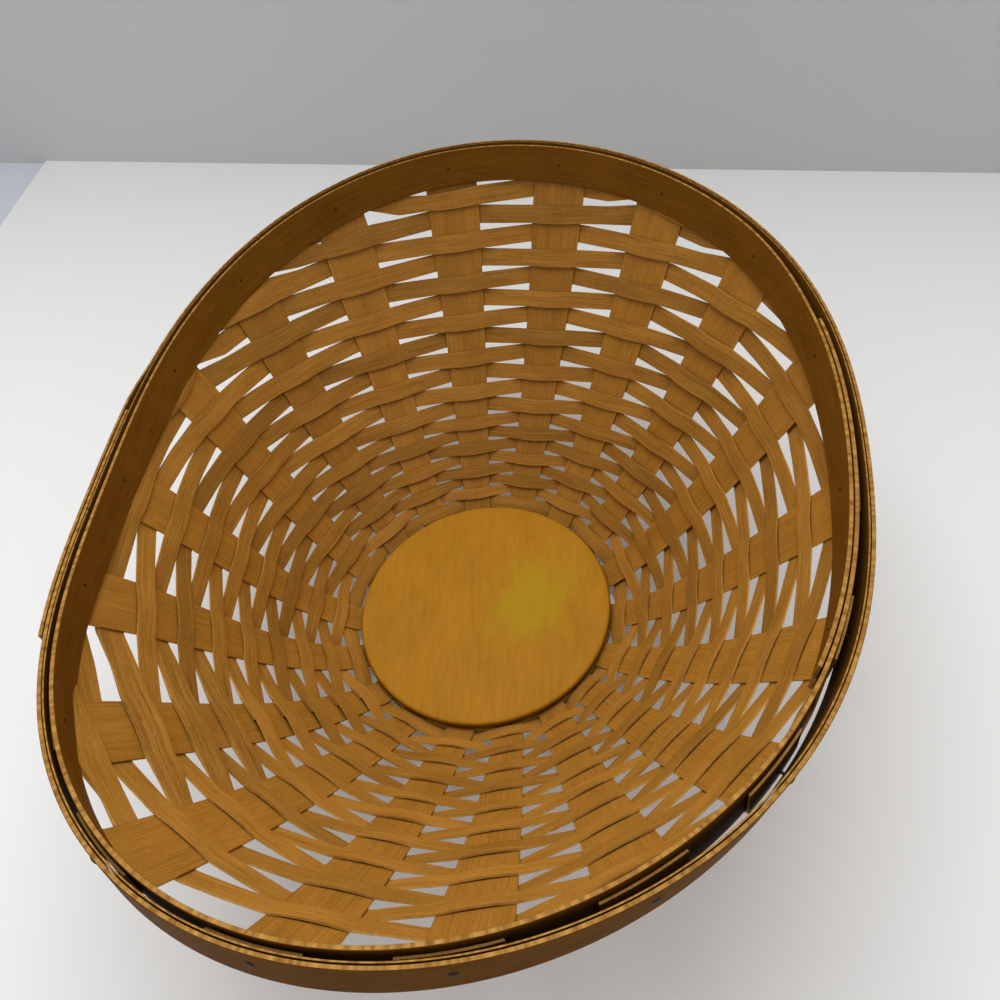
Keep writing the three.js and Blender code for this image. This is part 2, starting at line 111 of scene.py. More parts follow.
def turned_maple():
    """Maple board, turned, stained and varnished: short fine flecks and soft bands under a satin film."""
    material, tree, shader = new_material("turned_maple_stained", "#b07c1c", 0.42)
    shader.inputs["Specular IOR Level"].default_value = 0.06
    coordinates = add_node(tree, "ShaderNodeTexCoord").outputs

    def noise_along_grain(size, detail, roughness):
        """Noise whose grains have this length, width and depth in millimetres."""
        stretch = add_node(tree, "ShaderNodeMapping", inputs={
            "Vector": coordinates["Object"], "Rotation": (0, 0, -math.radians(BOARD_GRAIN_ANGLE)),
            "Scale": [1 / (side * MM) for side in size]})
        return add_node(tree, "ShaderNodeTexNoise", inputs={
            "Vector": stretch.outputs[0], "Scale": 1.0, "Detail": detail,
            "Roughness": roughness}).outputs["Fac"]

    grain = noise_along_grain(BOARD_FLECKS, 5.0, 0.6)
    fine = add_node(tree, "ShaderNodeValToRGB", inputs={"Fac": grain})
    fine.color_ramp.elements[0].position = 0.3
    fine.color_ramp.elements[0].color = linear("#9a6810")
    fine.color_ramp.elements[1].position = 0.7
    fine.color_ramp.elements[1].color = linear("#b67c16")
    broad = add_node(tree, "ShaderNodeValToRGB", inputs={"Fac": noise_along_grain(BOARD_BANDS, 3.0, 0.5)})
    broad.color_ramp.elements[0].position = 0.35
    broad.color_ramp.elements[0].color = linear("#a6700e")
    broad.color_ramp.elements[1].position = 0.65
    broad.color_ramp.elements[1].color = linear("#b67c14")
    wood = add_node(tree, "ShaderNodeMix", {"data_type": "RGBA"}, {
        0: 0.5, 6: fine.outputs["Color"], 7: broad.outputs["Color"]})
    # A patch beside the middle is worn to a greenish yellow, with a frayed edge.
    oval = add_node(tree, "ShaderNodeMapping", {"vector_type": "TEXTURE"}, {
        "Vector": coordinates["Object"], "Location": [c * MM for c in WORN_PATCH],
        "Rotation": (0, 0, math.radians(WORN_PATCH_TURN)),
        "Scale": (WORN_PATCH_HALF_LENGTH * MM, WORN_PATCH_HALF_WIDTH * MM, 1.0)})
    away = add_node(tree, "ShaderNodeVectorMath", {"operation": "LENGTH"}, {0: oval.outputs[0]})
    ragged = add_node(tree, "ShaderNodeMath", {"operation": "MULTIPLY_ADD"}, {
        0: noise_along_grain(PATCH_FRAY, 5.0, 0.65), 1: 2.2, 2: away.outputs["Value"]})
    patch = add_node(tree, "ShaderNodeMapRange", {"interpolation_type": "SMOOTHSTEP"}, {
        "Value": ragged.outputs[0], "From Min": 1.5, "From Max": 2.2, "To Min": 0.8, "To Max": 0.0})
    worn = add_node(tree, "ShaderNodeMix", {"data_type": "RGBA"}, {
        0: patch.outputs[0], 6: wood.outputs[2], 7: linear("#ab8a06")})
    # Painted shade: the colour of the turned edge is darkened where its face no longer looks up.
    upright = add_node(tree, "ShaderNodeSeparateXYZ", inputs={"Vector": coordinates["Normal"]})
    edge = add_node(tree, "ShaderNodeMapRange", inputs={
        "Value": upright.outputs["Z"], "From Min": 0.25, "From Max": 0.95,
        "To Min": EDGE_PAINTED_SHADE, "To Max": 1.0})
    stained_and_shaded = add_node(tree, "ShaderNodeVectorMath", {"operation": "SCALE"}, {
        0: worn.outputs[2], "Scale": edge.outputs[0]})
    tree.links.new(stained_and_shaded.outputs[0], shader.inputs["Base Color"])
    relief = add_node(tree, "ShaderNodeBump", inputs={
        "Strength": 0.25, "Distance": 0.00004, "Height": grain})
    tree.links.new(relief.outputs[0], shader.inputs["Normal"])
    return material


def finish_piece(piece, slot, *nodes):
    """The piece stands for these nodes of the model and moves with the basket; its slot is not used."""
    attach(piece, "root")
    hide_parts(*nodes)


def plain_object(name, points, faces, material, smooth=True):
    """An object from points in millimetres and the faces between them."""
    mesh = bpy.data.meshes.new(name)
    mesh.from_pydata([tuple(p) for p in np.asarray(points) * MM], [], faces)
    mesh.materials.append(material)
    mesh.polygons.foreach_set("use_smooth", [smooth] * len(mesh.polygons))
    mesh.update()
    piece = bpy.data.objects.new(name, mesh)
    bpy.context.scene.collection.objects.link(piece)
    return piece


def board_profile(level, thickness, lower_round, upper_round):
    """Radius and height of the board's outline from the middle of its underside to the middle on top."""
    outline = [(BASE_RADIUS * share, level) for share in (0.3, 0.6, 0.85, 0.95)]
    for angle in range(-90, 1, 18):
        outline.append((BASE_RADIUS - lower_round + lower_round * cosd(angle),
                        level + lower_round + lower_round * sind(angle)))
    for angle in range(0, 91, 15):
        outline.append((BASE_RADIUS - upper_round + upper_round * cosd(angle),
                        level + thickness - upper_round + upper_round * sind(angle)))
    outline += [(BASE_RADIUS * share, level + thickness) for share in (0.93, 0.8, 0.6, 0.3)]
    return outline


def turned_board(name, level, thickness, lower_round, upper_round, material):
    """A round board: its outline turned round the middle, and closed there below and on top."""
    outline = board_profile(level, thickness, lower_round, upper_round)
    angles = np.arange(BOARD_SIDES) * 360 / BOARD_SIDES
    points = [(r * cosd(a), r * sind(a), z) for r, z in outline for a in angles]
    faces = []
    for ring in range(len(outline) - 1):
        for side in range(BOARD_SIDES):
            a, b = ring * BOARD_SIDES + side, ring * BOARD_SIDES + (side + 1) % BOARD_SIDES
            faces.append((a, b, b + BOARD_SIDES, a + BOARD_SIDES))
    bottom, top = len(points), len(points) + 1
    points += [(0, 0, level), (0, 0, level + thickness)]
    last = (len(outline) - 1) * BOARD_SIDES
    for side in range(BOARD_SIDES):
        after = (side + 1) % BOARD_SIDES
        faces.append((bottom, after, side))
        faces.append((top, last + side, last + after))
    return plain_object(name, points, faces, material)


board_maple = turned_maple()
lower_board = turned_board("lower_board", 0, LOWER_BOARD_THICKNESS, LOWER_BOARD_ROUND, LOWER_BOARD_ROUND,
                           board_maple)
finish_piece(lower_board, "base_wood", "base_disc_lower")
upper_board = turned_board("upper_board", UPPER_BOARD_LEVEL, UPPER_BOARD_THICKNESS, LOWER_BOARD_ROUND,
                           UPPER_BOARD_ROUND, board_maple)
finish_piece(upper_board, "base_wood", "base_disc_upper")

# Staves
# Eighteen flat splints of ash, rived thin, tapered towards the base and stained with the rest.
# Their roots lie between the boards. They bend up at the boards' edge and run up through
# the rows to the rim, where they are clamped between the hoops.

STAVE_COUNT = 18
STAVE_FOOT_WIDTH = 10.6
STAVE_WIDENING = 0.085
STAVE_ROOT_WIDTH = 4.4
STAVE_ROOT_LENGTH = 28.7
STAVE_STANDOFF = 0.8
STAVE_ROOT_STATIONS = (0, 0.5, 0.8, 0.94)
STAVE_BENDS_FROM = 0.012
STAVE_CURVES_FROM = 0.94
STAVE_TOP_INSET = 2.5
STAVE_STEPS_UNDER_HOOPS = 10
STAVE_STEP = 1.5
STAVE_STEPS_ACROSS = 6
STAVE_TONES = (0.9, 1.08)
STAVE_LEVEL = LOWER_BOARD_THICKNESS + CLEARANCE + STAVE_THICKNESS / 2
WALL_FOOT_RADIUS = BASE_RADIUS + STAVE_STANDOFF
# Places of the staves round the base, and how far the maker's hand set each off its even place.
FIRST_STAVE = 289.4
STAVE_CROWDING_ALONG = -2.6
STAVE_CROWDING_ACROSS = 1.8
STAVE_HAND_DRIFT = [0.5, 0.5, 0, -0.5, 0, 1, 0.5, -1, 0.5, -0.5, -0.5, -2, 0.5, 1.5, 2, 0, -2, -1.5]
# Mouth oval: half lengths, centre, and what the maker's hands made of it.
MOUTH_HALF_LENGTH = 155.7
MOUTH_HALF_WIDTH = 120.9
MOUTH_CENTRE = (0.2, -6.3)
MOUTH_EGG = 1.3
MOUTH_SKEW = 2.7
MOUTH_SQUARENESS = 0.35
MOUTH_FLATS = 0.6
MOUTH_FLATS_TURN = 52
# Height of the rim: its mean, its tip towards the high end, its saddle and its twist.
RIM_HEIGHT = 116.2
RIM_TIP = 7.1
RIM_SADDLE = 6.7
RIM_TWIST = 3.1
# The hoops lean outwards, less so at the high end.
HOOP_LEAN = 25.3
HIGH_END_LEAN_LOSS = 34.5
HIGH_END = 172
HIGH_END_NARROWING = 2
HOOP_DEPTH = 13.8
INNER_HOOP_THICKNESS = 1.3
STAVE_OUT = INNER_HOOP_THICKNESS + CLEARANCE + STAVE_THICKNESS / 2
# Slopes of the wall at base and rim, fullness of its bends, and the staves' turn round the oval.
WALL_FOOT_SLOPE = 34.9
WALL_TOP_SLOPE = 53.9
WALL_FOOT_FULLNESS = 0.343
WALL_TOP_FULLNESS = 0.329
STAVE_TURN_ALL = -2.95
STAVE_TURN_ALONG = 2.43
STAVE_TURN_ACROSS = 2.1
STAVE_TURN_OVAL = -5.44
WALL_SAMPLES = 48


def unit(vectors):
    """Vectors brought to length 1."""
    return vectors / np.linalg.norm(vectors, axis=-1, keepdims=True)


def columns(x, y, z):
    """Points from their x, y and z, each a number or an array."""
    return np.stack(np.broadcast_arrays(x, y, z), axis=-1).astype(float)


def swell(degrees, centre, narrowing):
    """One smooth swell of height 1 round the oval, centred on an angle."""
    return ((1 + cosd(degrees - centre)) / 2) ** narrowing


def smoothstep(x, low, high):
    """From 0 below the low value to 1 above the high one, with soft ends."""
    share = np.clip((x - low) / (high - low), 0, 1)
    return share * share * (3 - 2 * share)


def mouth_point(t):
    """A point of the mouth's outline in the plan: the inner hoop's inside face."""
    mean = (MOUTH_HALF_LENGTH + MOUTH_HALF_WIDTH) / 2
    oval = (MOUTH_HALF_LENGTH - MOUTH_HALF_WIDTH) / 2
    bends = MOUTH_SKEW * sind(3 * t) - MOUTH_EGG * cosd(3 * t)
    corners = MOUTH_FLATS * cosd(5 * t - MOUTH_FLATS_TURN) - MOUTH_SQUARENESS * cosd(4 * t)
    radius = mean + oval * cosd(2 * t) + bends + corners
    return columns(radius * cosd(t) + MOUTH_CENTRE[0], radius * sind(t) + MOUTH_CENTRE[1], 0)


def rim_height(t):
    """Height of the hoops' top edge."""
    return RIM_HEIGHT - RIM_TIP * cosd(t) + RIM_SADDLE * cosd(2 * t) - RIM_TWIST * sind(2 * t)


def mouth_step(t):
    """The outline's step over one degree."""
    return mouth_point(t + 0.5) - mouth_point(t - 0.5)


def mouth_speed(t):
    """Millimetres of outline for each degree."""
    return np.linalg.norm(mouth_step(t), axis=-1)


def mouth_normal(t):
    """The level direction that points out of the mouth."""
    along = unit(mouth_step(t))
    return columns(along[..., 1], -along[..., 0], 0)


def hoop_lean(t):
    """Angle of the bands from upright, at an angle of the mouth."""
    return HOOP_LEAN - HIGH_END_LEAN_LOSS * swell(t, HIGH_END, HIGH_END_NARROWING)


def hoop_point(t, out, drop):
    """A point on the rim bands: out from the inner hoop's inside face, and down the leaning band."""
    lean = hoop_lean(t)
    level = np.asarray(out - drop * sind(lean))
    point = mouth_point(t) + mouth_normal(t) * level[..., None]
    point[..., 2] = rim_height(t) - drop * cosd(lean)
    return point


def rim_angle(theta):
    """Where a stave that starts at an angle of the base ends round the mouth."""
    return (theta + STAVE_TURN_ALL + STAVE_TURN_ALONG * cosd(theta) + STAVE_TURN_ACROSS * sind(theta)
            + STAVE_TURN_OVAL * sind(2 * theta))


def wall_curve(theta):
    """The four points that shape the wall's line above an angle of the base."""
    foot = columns(WALL_FOOT_RADIUS * cosd(theta), WALL_FOOT_RADIUS * sind(theta), STAVE_LEVEL)
    top = hoop_point(rim_angle(theta), STAVE_OUT, HOOP_DEPTH)
    reach = np.linalg.norm(top - foot, axis=-1)[..., None]
    level = unit((top - foot) * (1, 1, 0))
    leave = level * cosd(WALL_FOOT_SLOPE) + np.array((0, 0, sind(WALL_FOOT_SLOPE)))
    arrive = level * cosd(WALL_TOP_SLOPE) + np.array((0, 0, sind(WALL_TOP_SLOPE)))
    return foot, foot + leave * WALL_FOOT_FULLNESS * reach, top - arrive * WALL_TOP_FULLNESS * reach, top


def on_curve(curve, u):
    """Points of a cubic curve with four shaping points."""
    a, b, c, d = curve
    u = u[..., None]
    return (1 - u) ** 3 * a + 3 * (1 - u) ** 2 * u * b + 3 * (1 - u) * u ** 2 * c + u ** 3 * d


def wall_lengths(theta):
    """Running lengths along the wall's line at even steps of its parameter."""
    steps = np.linspace(0, 1, WALL_SAMPLES + 1)
    curve = [point[..., None, :] for point in wall_curve(theta)]
    line = on_curve(curve, np.broadcast_to(steps, np.shape(theta) + steps.shape))
    pieces = np.linalg.norm(np.diff(line, axis=-2), axis=-1)
    return steps, np.concatenate([np.zeros(pieces.shape[:-1] + (1,)), np.cumsum(pieces, axis=-1)], axis=-1)


def wall_length(theta):
    return wall_lengths(np.asarray(theta, float))[1][..., -1]


def wall_point(theta, share):
    """Points at shares of the wall's length above angles of the base."""
    theta, share = np.broadcast_arrays(np.asarray(theta, float), np.asarray(share, float))
    flat_theta, flat_share = theta.ravel(), share.ravel()
    steps, lengths = wall_lengths(flat_theta)
    u = np.array([np.interp(s * row[-1], row, steps) for s, row in zip(flat_share, lengths)])
    return on_curve(wall_curve(flat_theta), u).reshape(theta.shape + (3,))


def wall_frame(theta, share):
    """Place, line across and inward normal of the wall."""
    point = wall_point(theta, share)
    share = np.asarray(share, float)
    up = unit(wall_point(theta, share + 0.005) - wall_point(theta, share - 0.005))
    across = wall_point(theta + 1, share) - wall_point(theta - 1, share)
    across = unit(across - up * np.sum(across * up, axis=-1, keepdims=True))
    return point, across, np.cross(up, across)


def stave_width(wall_distance):
    """Width of a stave at a distance up the wall."""
    return STAVE_FOOT_WIDTH + STAVE_WIDENING * wall_distance


def stave_point(theta, share, across, inwards):
    """A point on a stave or off its face; near the rim the stave takes the curve of the hoops."""
    theta, share, across, inwards = np.broadcast_arrays(theta, share, across, inwards)
    point, sideways, inward = wall_frame(theta, np.minimum(share, 1))
    flat = point + sideways * across[..., None] + inward * inwards[..., None]
    t = rim_angle(theta)
    top = hoop_point(t, STAVE_OUT, HOOP_DEPTH)
    drop = HOOP_DEPTH - np.maximum(share - 1, 0) * wall_length(theta)
    curved = hoop_point(t + across / mouth_speed(t), STAVE_OUT - inwards, drop) - top + point
    blend = smoothstep(share, STAVE_CURVES_FROM, 1)[..., None]
    return flat + (curved - flat) * blend


even_angles = FIRST_STAVE + np.arange(STAVE_COUNT) * 360 / STAVE_COUNT
stave_angles = (even_angles + STAVE_CROWDING_ALONG * cosd(even_angles)
                + STAVE_CROWDING_ACROSS * sind(even_angles) + np.array(STAVE_HAND_DRIFT))


def splint_tree():
    """Geometry nodes that lay a flat splint along a line of points.

    Each point carries the half width as a vector, the sag of its edges as a vector, and its
    distance along the splint in millimetres. Tone lightens or darkens a splint's wood, and Sheet
    moves its grain, so that no two splints look cut from the same place.
    """
    tree = bpy.data.node_groups.new("splint_along_line", "GeometryNodeTree")
    tree.interface.new_socket("Line", in_out="INPUT", socket_type="NodeSocketGeometry")
    for name, kind in (("Steps across", "NodeSocketInt"), ("Tone", "NodeSocketFloat"),
                       ("Sheet", "NodeSocketFloat"), ("Wood", "NodeSocketMaterial")):
        tree.interface.new_socket(name, in_out="INPUT", socket_type=kind)
    tree.interface.new_socket("Splint", in_out="OUTPUT", socket_type="NodeSocketGeometry")
    given = add_node(tree, "NodeGroupInput").outputs
    count = add_node(tree, "GeometryNodeAttributeDomainSize", {"component": "MESH"}, {
        0: given["Line"]}).outputs["Point Count"]
    across = add_node(tree, "ShaderNodeMath", {"operation": "ADD"}, {0: given["Steps across"], 1: 1.0})
    grid = add_node(tree, "GeometryNodeMeshGrid", inputs={
        "Size X": 2.0, "Size Y": 1.0, "Vertices X": across.outputs[0], "Vertices Y": count})
    place = add_node(tree, "ShaderNodeSeparateXYZ", inputs={
        0: add_node(tree, "GeometryNodeInputPosition").outputs[0]})
    less = add_node(tree, "ShaderNodeMath", {"operation": "SUBTRACT"}, {0: count, 1: 1.0})
    shifted = add_node(tree, "ShaderNodeMath", {"operation": "ADD"}, {0: place.outputs["Y"], 1: 0.5})
    scaled = add_node(tree, "ShaderNodeMath", {"operation": "MULTIPLY"}, {
        0: shifted.outputs[0], 1: less.outputs[0]})
    index = add_node(tree, "ShaderNodeMath", {"operation": "ROUND"}, {0: scaled.outputs[0]})
    sampled = {}
    for name, kind in (("half", "FLOAT_VECTOR"), ("sag", "FLOAT_VECTOR"), ("run", "FLOAT")):
        named = add_node(tree, "GeometryNodeInputNamedAttribute", {"data_type": kind}, {"Name": name})
        sampled[name] = add_node(tree, "GeometryNodeSampleIndex", {"data_type": kind, "domain": "POINT"}, {
            "Geometry": given["Line"], "Value": named.outputs["Attribute"],
            "Index": index.outputs[0]}).outputs["Value"]
    middle = add_node(tree, "GeometryNodeSampleIndex", {"data_type": "FLOAT_VECTOR", "domain": "POINT"}, {
        "Geometry": given["Line"], "Value": add_node(tree, "GeometryNodeInputPosition").outputs[0],
        "Index": index.outputs[0]})
    reach = add_node(tree, "ShaderNodeVectorMath", {"operation": "SCALE"}, {
        0: sampled["half"], "Scale": place.outputs["X"]})
    square = add_node(tree, "ShaderNodeMath", {"operation": "MULTIPLY"}, {
        0: place.outputs["X"], 1: place.outputs["X"]})
    bowed = add_node(tree, "ShaderNodeVectorMath", {"operation": "SCALE"}, {
        0: sampled["sag"], "Scale": square.outputs[0]})
    flat = add_node(tree, "ShaderNodeVectorMath", {"operation": "ADD"}, {
        0: middle.outputs["Value"], 1: reach.outputs[0]})
    cupped = add_node(tree, "ShaderNodeVectorMath", {"operation": "ADD"}, {
        0: flat.outputs[0], 1: bowed.outputs[0]})
    half_length = add_node(tree, "ShaderNodeVectorMath", {"operation": "LENGTH"}, {0: sampled["half"]})
    width = add_node(tree, "ShaderNodeMath", {"operation": "MULTIPLY"}, {
        0: half_length.outputs["Value"], 1: place.outputs["X"]})
    width_mm = add_node(tree, "ShaderNodeMath", {"operation": "DIVIDE"}, {0: width.outputs[0], 1: MM})
    pattern = add_node(tree, "ShaderNodeCombineXYZ", inputs={"X": sampled["run"], "Y": width_mm.outputs[0]})
    with_uv = add_node(tree, "GeometryNodeStoreNamedAttribute", {
        "data_type": "FLOAT2", "domain": "CORNER"}, {
        "Geometry": grid.outputs["Mesh"], "Name": "UVMap", "Value": pattern.outputs[0]})
    toned = add_node(tree, "GeometryNodeStoreNamedAttribute", {"data_type": "FLOAT", "domain": "POINT"}, {
        "Geometry": with_uv.outputs[0], "Name": "tone", "Value": given["Tone"]})
    numbered = add_node(tree, "GeometryNodeStoreNamedAttribute", {"data_type": "FLOAT", "domain": "POINT"}, {
        "Geometry": toned.outputs[0], "Name": "sheet", "Value": given["Sheet"]})
    laid = add_node(tree, "GeometryNodeSetPosition", inputs={
        "Geometry": numbered.outputs[0], "Position": cupped.outputs[0]})
    smooth = add_node(tree, "GeometryNodeSetShadeSmooth", inputs={"Geometry": laid.outputs[0]})
    real = add_node(tree, "GeometryNodeRealizeInstances", inputs={0: smooth.outputs[0]})
    made = add_node(tree, "GeometryNodeSetMaterial", inputs={
        "Geometry": real.outputs[0], "Material": given["Wood"]})
    add_node(tree, "NodeGroupOutput", inputs={0: made.outputs[0]})
    return tree


SPLINT_ALONG_LINE = splint_tree()


def run_tree(name, tree, mesh, values):
    """The plain object that a tree of geometry nodes makes from a mesh, with its named inputs set."""
    carrier = bpy.data.objects.new(name + "_line", mesh)
    bpy.context.scene.collection.objects.link(carrier)
    modifier = carrier.modifiers.new("made", "NODES")
    modifier.node_group = tree
    sockets = {item.name: item.identifier for item in tree.interface.items_tree if item.in_out == "INPUT"}
    for socket, value in values.items():
        modifier[sockets[socket]] = value
    graph = bpy.context.evaluated_depsgraph_get()
    made = bpy.data.meshes.new_from_object(carrier.evaluated_get(graph), depsgraph=graph)
    made.name = name
    bpy.data.objects.remove(carrier)
    piece = bpy.data.objects.new(name, made)
    bpy.context.scene.collection.objects.link(piece)
    return piece


EASED_EDGE = 0.16
EASED_ABOVE = 50


def lay_splint(name, low_edge, high_edge, middle, thickness, steps_across, tone, sheet, wood, cut_wood):
    """A splint between two edge lines, flat or cupped by its middle line, with eased cut edges."""
    centre = (low_edge + high_edge) / 2
    if middle is None:
        middle = centre
    line = bpy.data.meshes.new(name + "_line")
    line.from_pydata([tuple(p) for p in middle * MM], [], [])
    run = np.concatenate([[0], np.cumsum(np.linalg.norm(np.diff(middle, axis=0), axis=1))])
    for key, values in (("half", (high_edge - low_edge) / 2 * MM), ("sag", (centre - middle) * MM)):
        line.attributes.new(key, "FLOAT_VECTOR", "POINT").data.foreach_set("vector", values.ravel())
    line.attributes.new("run", "FLOAT", "POINT").data.foreach_set("value", run)
    piece = run_tree(name, SPLINT_ALONG_LINE, line, {
        "Steps across": steps_across, "Tone": tone, "Sheet": sheet, "Wood": wood})
    piece.data.materials.append(cut_wood)
    solid = piece.modifiers.new("thickness", "SOLIDIFY")
    solid.thickness = thickness * MM
    solid.offset = 0
    solid.use_even_offset = True
    solid.material_offset_rim = 1
    ease = piece.modifiers.new("eased_edges", "BEVEL")
    ease.width = EASED_EDGE * thickness * MM
    ease.segments = 1
    ease.limit_method = "ANGLE"
    ease.angle_limit = math.radians(EASED_ABOVE)
    ease.harden_normals = True
    return piece


# Length and width of the streaks, pores and blotches in a splint's wood.
SPLINT_STREAKS = (26, 0.55)
SPLINT_PORES = (1.6, 0.3)
SPLINT_BLOTCHES = (24, 9)
PORE_STRENGTH = 0.7
# Reach of the painted shade where splints touch, and how much of the wood's brightness it leaves there.
CORNER_SHADE_REACH = 5
PAINTED_SHADE_IN_CORNERS = 0.5


def splint_wood(name, dark, light, gloss, blotch, sheen=0.1):
    """Split wood, stained and varnished: fine straight streaks along the strip, a satin sheen, and painted
    shade where splints touch.
    """
    material, tree, shader = new_material(name, light, gloss)
    shader.inputs["Specular IOR Level"].default_value = sheen
    where = add_node(tree, "ShaderNodeUVMap", {"uv_map": "UVMap"}).outputs[0]
    sheet = add_node(tree, "ShaderNodeAttribute", {"attribute_name": "sheet"}).outputs["Fac"]
    tone = add_node(tree, "ShaderNodeAttribute", {"attribute_name": "tone"}).outputs["Fac"]
    own = add_node(tree, "ShaderNodeCombineXYZ", inputs={"X": sheet, "Y": sheet, "Z": sheet})
    moved = add_node(tree, "ShaderNodeVectorMath", {"operation": "ADD"}, {0: where, 1: own.outputs[0]})

    def noise_along_splint(size, detail):
        """Noise whose grains have this length and width in millimetres."""
        stretch = add_node(tree, "ShaderNodeMapping", inputs={
            "Vector": moved.outputs[0], "Scale": (1 / size[0], 1 / size[1], 1.0)})
        return add_node(tree, "ShaderNodeTexNoise", inputs={
            "Vector": stretch.outputs[0], "Scale": 1.0, "Detail": detail,
            "Roughness": 0.62}).outputs["Fac"]

    streaks = noise_along_splint(SPLINT_STREAKS, 4.0)
    pores = noise_along_splint(SPLINT_PORES, 3.0)
    blotches = noise_along_splint(SPLINT_BLOTCHES, 3.0)
    grain = add_node(tree, "ShaderNodeMath", {"operation": "MULTIPLY_ADD"}, {
        0: pores, 1: PORE_STRENGTH, 2: streaks})
    spread = add_node(tree, "ShaderNodeMath", {"operation": "MULTIPLY_ADD"}, {
        0: blotches, 1: blotch, 2: grain.outputs[0]})
    share = add_node(tree, "ShaderNodeMapRange", inputs={
        "Value": spread.outputs[0], "From Min": 0.67 + 0.3 * blotch, "From Max": 1.03 + 0.7 * blotch})
    wood = add_node(tree, "ShaderNodeMix", {"data_type": "RGBA"}, {
        0: share.outputs[0], 6: linear(dark), 7: linear(light)})
    toned = add_node(tree, "ShaderNodeVectorMath", {"operation": "SCALE"}, {
        0: wood.outputs[2], "Scale": tone})
    # Painted shade: the wood is darkened where splints touch, within a few millimetres of the crossing.
    corner = add_node(tree, "ShaderNodeAmbientOcclusion", {"samples": 6}, {"Distance": CORNER_SHADE_REACH * MM})
    corner_shade = add_node(tree, "ShaderNodeMapRange", inputs={
        "Value": corner.outputs["AO"], "From Min": 0.15, "From Max": 0.85, "To Min": PAINTED_SHADE_IN_CORNERS})
    stained_and_shaded = add_node(tree, "ShaderNodeVectorMath", {"operation": "SCALE"}, {
        0: toned.outputs[0], "Scale": corner_shade.outputs[0]})
    tree.links.new(stained_and_shaded.outputs[0], shader.inputs["Base Color"])
    relief = add_node(tree, "ShaderNodeBump", inputs={
        "Strength": 0.4, "Distance": 0.00006, "Height": grain.outputs[0]})
    tree.links.new(relief.outputs[0], shader.inputs["Normal"])
    return material


stave_ash = splint_wood("stave_ash_stained", "#87581a", "#b27a2d", 0.5, 0.5)
cut_ash = splint_wood("cut_edge_ash", "#a06c28", "#d6a452", 0.5, 0.8)
chance = np.random.default_rng(7)


def stave_lines(theta):
    """Low and high edge, and middle line, of a stave from its root to its top."""
    t = rim_angle(theta)
    length = wall_length(theta)
    top_half = stave_width(length) / 2
    lines = {-1: [], 0: [], 1: []}
    sideways = np.array((cosd(theta + 90), sind(theta + 90), 0))
    outwards = np.array((cosd(theta), sind(theta), 0))
    for side, line in lines.items():
        for share in STAVE_ROOT_STATIONS:
            radius = BASE_RADIUS - STAVE_ROOT_LENGTH * (1 - share)
            half = (STAVE_ROOT_WIDTH + (STAVE_FOOT_WIDTH - STAVE_ROOT_WIDTH) * share) / 2
            line.append(outwards * radius + sideways * side * half + np.array((0, 0, STAVE_LEVEL)))
        shares = np.linspace(STAVE_BENDS_FROM, 1, int(length / STAVE_STEP))
        half = stave_width(shares * length) / 2
        line.extend(stave_point(theta, shares, side * half, 0))
        for drop in np.linspace(HOOP_DEPTH, STAVE_TOP_INSET, STAVE_STEPS_UNDER_HOOPS)[1:]:
            line.append(hoop_point(t + side * top_half / mouth_speed(t), STAVE_OUT, drop))
    return [np.array(lines[side]) for side in (-1, 1, 0)]


for index, theta in enumerate(stave_angles):
    name = f"stave_{index + 1:02d}"
    left, right, middle = stave_lines(theta)
    stave = lay_splint("splint_" + name, left, right, middle, STAVE_THICKNESS, STAVE_STEPS_ACROSS,
                       chance.uniform(*STAVE_TONES), 40.0 * index + 11, stave_ash, cut_ash)
    finish_piece(stave, "stave_wood", name)

# Rows
# Strips of the same splint, woven over and under the staves and creased at the staves' edges.
# Eighteen go once round and overlap their own start; the top ones dip under the hoops at the
# sides, where the rim is lower. Two short strips fill the far end, where it is higher.

ROW_COUNT = 18
FAR_END_ROWS = 2
FAR_END_START = 8
FAR_END_STAVES = 9
# Places of the rows up the wall, as shares of its mean length: each row a little wider than the
# last, lower at the far end, at the left and at both ends, and fully so from one row on.
ROW_PITCH = 0.0381
ROW_PITCH_GROWTH = 0.000776
ROW_DIP_FAR_END = 0.042
ROW_DIP_LEFT = 0.0165
ROW_DIP_ENDS = 0.018
ROW_OF_FULL_DIP = 8
# The top rows are pushed up near the high end, and from one row on also beside it, under the hoop.
TOP_ROW_LIFT = 6
TOP_ROW_LIFTED_AT = 138
TOP_ROW_LIFT_NARROWING = 6
TOP_ROW_LIFTED_FROM = 15
HIDDEN_ROW_LIFT = 8
HIDDEN_ROW_AT = 111
HIDDEN_ROW_NARROWING = 60
HIDDEN_ROW_FROM = 17
FIRST_ROW_FOOT = 0.8
# How far past the wall's end the lower and the upper edge of a strip may run, under the hoops.
UNDER_HOOP = (1, 7)
UNDER_HOOP_FROM = 0.97
OFFSET_LEFT_UNDER_HOOP = 0.6
# Widths: a base width and a share of the row's pitch, narrower on one side of the basket.
WEAVER_WIDTH = 1.9
WEAVER_WIDTH_PER_PITCH = 0.7
WEAVER_NARROWED = 0.22
WEAVER_NARROWED_AT = 225
WEAVER_NARROWED_BREADTH = 0.5
CROSSING_FILL = 0.97
ON_STAVE_FILL = 2
# A strip climbs over one stave and sinks at the next, and bulges off each.
ROW_WAVE = 1.15
ROW_WAVE_AT_EDGES = 0.7
WEAVER_THICKNESS = 0.8
WEAVER_OFFSET = (STAVE_THICKNESS + WEAVER_THICKNESS) / 2
WEAVER_BULGE_INSIDE = 0.35
WEAVER_BULGE_OUTSIDE = 0.3
STAVE_EDGE_ROOM = 0.3
BEND_LENGTH = 3
WEAVER_STEP = 1.2
WEAVER_STEPS_ACROSS = 4
WEAVER_TONES = (0.84, 1.12)
